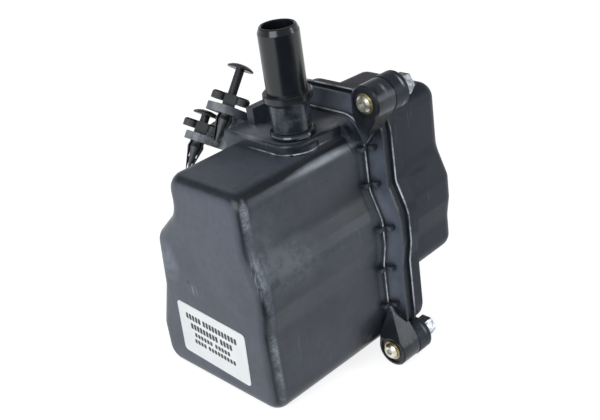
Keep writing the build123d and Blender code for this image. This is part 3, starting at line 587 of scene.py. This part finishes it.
# each row: height above the label's middle, thickness, and the starts and counts of its runs of blocks
print_rows = (
    (0.0086, 0.0036, ((-0.0200, 5), (-0.0068, 11))),
    (0.0030, 0.0036, ((-0.0172, 9), (0.0058, 4))),
    (-0.0020, 0.0026, ((-0.0150, 6), (0.0010, 5))),
    (-0.0062, 0.0026, ((-0.0158, 4), (-0.0050, 9))),
)
label_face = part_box("inspection_label")[0][0]
print_shape = bmesh.new()
for row_height, block_thick, runs in print_rows:
    for run_start, block_count in runs:
        for block in range(block_count):
            block_start = run_start + block * BLOCK_PITCH
            block_end = block_start + BLOCK_PITCH - BLOCK_GAP
            corners = []
            for right, up in ((block_start, -0.5), (block_end, -0.5), (block_end, 0.5), (block_start, 0.5)):
                rise = row_height + up * block_thick
                block_y = LABEL_MIDDLE[0] - right * math.cos(LABEL_TURN) - rise * math.sin(LABEL_TURN)
                block_z = LABEL_MIDDLE[1] - right * math.sin(LABEL_TURN) + rise * math.cos(LABEL_TURN)
                corners.append(print_shape.verts.new((label_face - INK_RAISE, block_y, block_z)))
            print_shape.faces.new(corners)
bmesh.ops.bevel(
    print_shape,
    geom=list(print_shape.verts),
    offset=0.0003,
    segments=3,
    affect="VERTICES",
)
print_fronts = list(print_shape.faces)
print_backs = bmesh.ops.extrude_face_region(print_shape, geom=print_fronts, use_keep_orig=True)
for corner in print_backs["geom"]:
    if isinstance(corner, bmesh.types.BMVert):
        corner.co.x += 2 * INK_RAISE
bmesh.ops.recalc_face_normals(print_shape, faces=print_shape.faces)
print_mesh = bpy.data.meshes.new("label_print")
print_shape.to_mesh(print_mesh)
print_shape.free()
label_print = bpy.data.objects.new("label_print", print_mesh)
bpy.context.scene.collection.objects.link(label_print)
label_ink = moulded_plastic("label_ink", (0.06, 0.06, 0.065), (0.35, 0.35, 0.35), 0.55, 0.00002, 0.9)
print_mesh.materials.append(label_ink)
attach(label_print, "can")

# Floor
# A wide white table. The can lies on its two lower bosses and on the bottom edge of its closed end,
# so the table leans by that much in the can's own frame. Its white is the same in a mirror as to the eye.
low_boss = Vector((-0.0058, 0.0, 0.0003))
low_edge = Vector((-0.0752, 0.0, 0.0097))
table_lean = math.atan2(low_edge.z - low_boss.z, low_boss.x - low_edge.x)
table_mesh = bpy.data.meshes.new("table")
table_shape = bmesh.new()
bmesh.ops.create_grid(table_shape, x_segments=8, y_segments=8, size=6.0)
table_shape.to_mesh(table_mesh)
table_shape.free()
table = bpy.data.objects.new("table", table_mesh)
table.location = low_boss
table.rotation_euler = (0.0, table_lean, 0.0)
bpy.context.scene.collection.objects.link(table)
table_white = bpy.data.materials.new("table_white")
table_white.use_nodes = True
table_tree = table_white.node_tree
table_shader = table_tree.nodes["Principled BSDF"]
table_shader.inputs["Base Color"].default_value = (0.60, 0.60, 0.60, 1.0)
table_shader.inputs["Roughness"].default_value = 0.9
table_shader.inputs["Specular IOR Level"].default_value = 0.0
table_path = add_node(table_tree, "ShaderNodeLightPath")
table_mirror = add_node(table_tree, "ShaderNodeMath", operation="MAXIMUM")
table_tree.links.new(table_path.outputs["Is Glossy Ray"], table_mirror.inputs[0])
table_tree.links.new(table_path.outputs["Is Transmission Ray"], table_mirror.inputs[1])
table_seen = add_node(table_tree, "ShaderNodeMath", operation="MAXIMUM")
table_tree.links.new(table_path.outputs["Is Camera Ray"], table_seen.inputs[0])
table_tree.links.new(table_mirror.outputs["Value"], table_seen.inputs[1])
table_level = add_node(table_tree, "ShaderNodeMath", operation="MULTIPLY")
table_level.inputs[1].default_value = 0.80
table_tree.links.new(table_seen.outputs["Value"], table_level.inputs[0])
table_tree.links.new(table_level.outputs["Value"], table_shader.inputs["Emission Strength"])
table_shader.inputs["Emission Color"].default_value = (1.0, 1.0, 1.0, 1.0)
table_mesh.materials.append(table_white)

# Light
# A white room whose walls are brighter than its ceiling, one broad soft box on the left of the can
# and a weaker one on its right.
room = bpy.data.worlds.new("room")
bpy.context.scene.world = room
room.use_nodes = True
room_tree = room.node_tree
room_light = room_tree.nodes["Background"]
room_light.inputs["Color"].default_value = (1.0, 1.0, 1.0, 1.0)
room_place = add_node(room_tree, "ShaderNodeTexCoord")
room_height = add_node(room_tree, "ShaderNodeSeparateXYZ")
room_tree.links.new(room_place.outputs["Generated"], room_height.inputs["Vector"])
room_level = add_node(room_tree, "ShaderNodeMapRange")
room_level.inputs["From Min"].default_value = 0.10
room_level.inputs["From Max"].default_value = 0.42
room_level.inputs["To Min"].default_value = 1.0
room_level.inputs["To Max"].default_value = 0.30
room_tree.links.new(room_height.outputs["Z"], room_level.inputs["Value"])
room_tree.links.new(room_level.outputs["Result"], room_light.inputs["Strength"])
can_middle = Vector((-0.010, 0.0, 0.080))


def soft_box(name, place, width, height, watts):
    lamp = bpy.data.lights.new(name, "AREA")
    lamp.shape = "RECTANGLE"
    lamp.size = width
    lamp.size_y = height
    lamp.energy = watts
    lamp.color = (0.90, 0.95, 1.0)
    holder = bpy.data.objects.new(name, lamp)
    holder.location = place
    holder.rotation_euler = (can_middle - Vector(place)).to_track_quat("-Z", "Y").to_euler()
    bpy.context.scene.collection.objects.link(holder)


soft_box("key_box", (-0.85, -0.25, 0.45), 0.6, 0.6, 5.5)
soft_box("side_box", (0.62, -0.78, 0.36), 0.16, 0.50, 1.6)

# Dark screen
# A dark cloth laid in front of the camera, out of its frame, as a studio does to keep black plastic black.
# It shows only as a dark band in the upright corner and on the front of the tube.
SCREEN_NEAR = 0.130
SCREEN_FAR = 0.800
SCREEN_LEFT = -0.137
SCREEN_RIGHT = 0.700
screen_away = Vector((-0.74, -0.67, 0.0)).normalized()
screen_along = Vector((0.67, -0.74, 0.0)).normalized()
screen_shape = bmesh.new()
bmesh.ops.create_grid(screen_shape, x_segments=24, y_segments=24, size=0.5)
for corner in screen_shape.verts:
    away = SCREEN_NEAR + (corner.co.x + 0.5) * (SCREEN_FAR - SCREEN_NEAR)
    side = SCREEN_LEFT + (corner.co.y + 0.5) * (SCREEN_RIGHT - SCREEN_LEFT)
    spread = screen_away * away + screen_along * side
    spread.z = low_boss.z - math.tan(table_lean) * (spread.x - low_boss.x)
    spread.z += 0.003 + 0.0015 * math.sin(40.0 * away) * math.cos(30.0 * side)
    corner.co = spread
screen_mesh = bpy.data.meshes.new("dark_screen")
screen_shape.to_mesh(screen_mesh)
screen_shape.free()
dark_screen = bpy.data.objects.new("dark_screen", screen_mesh)
bpy.context.scene.collection.objects.link(dark_screen)
dark_cloth = moulded_plastic("dark_cloth", (0.02, 0.02, 0.02), (0.03, 0.03, 0.03), 0.9, 0.0002, 0.2, 0.0)
screen_mesh.materials.append(dark_cloth)
dark_screen.visible_camera = False
dark_screen.visible_diffuse = False
dark_screen.visible_shadow = False

# Camera
# It looks down on the label corner, turned a little so that the can leans as it does on its table.
MM = 0.001
CAMERA_AZIMUTH = math.radians(-41.0)
CAMERA_ELEVATION = math.radians(27.0)
CAMERA_ROLL = math.radians(8.6)
FOCAL_PIXELS = 1000.0
FRAME_PIXELS = (600.0, 420.0)
aim_point = Vector((6.5, -46.0, 70.6)) * MM
aim_pixel = (388.5, 237.4)
aim_depth = 516.0 * MM
towards_eye = Vector(
    (
        math.sin(CAMERA_AZIMUTH) * math.cos(CAMERA_ELEVATION),
        -math.cos(CAMERA_AZIMUTH) * math.cos(CAMERA_ELEVATION),
        math.sin(CAMERA_ELEVATION),
    )
)
level_right = Vector((0, 0, 1)).cross(towards_eye).normalized()
level_up = towards_eye.cross(level_right)
eye_right = math.cos(CAMERA_ROLL) * level_right - math.sin(CAMERA_ROLL) * level_up
eye_up = math.sin(CAMERA_ROLL) * level_right + math.cos(CAMERA_ROLL) * level_up
eye = aim_point + towards_eye * aim_depth
eye -= eye_right * (aim_pixel[0] - FRAME_PIXELS[0] / 2) / FOCAL_PIXELS * aim_depth
eye += eye_up * (aim_pixel[1] - FRAME_PIXELS[1] / 2) / FOCAL_PIXELS * aim_depth
lens = bpy.data.cameras.new("camera")
lens.sensor_width = 36.0
lens.lens = 36.0 * FOCAL_PIXELS / FRAME_PIXELS[0]
lens.clip_start = 0.01
camera = bpy.data.objects.new("camera", lens)
turn = Matrix((eye_right, eye_up, towards_eye)).transposed()
camera.matrix_world = Matrix.Translation(eye) @ turn.to_4x4()
bpy.context.scene.collection.objects.link(camera)
bpy.context.scene.camera = camera
bpy.context.scene.view_settings.view_transform = "Standard"
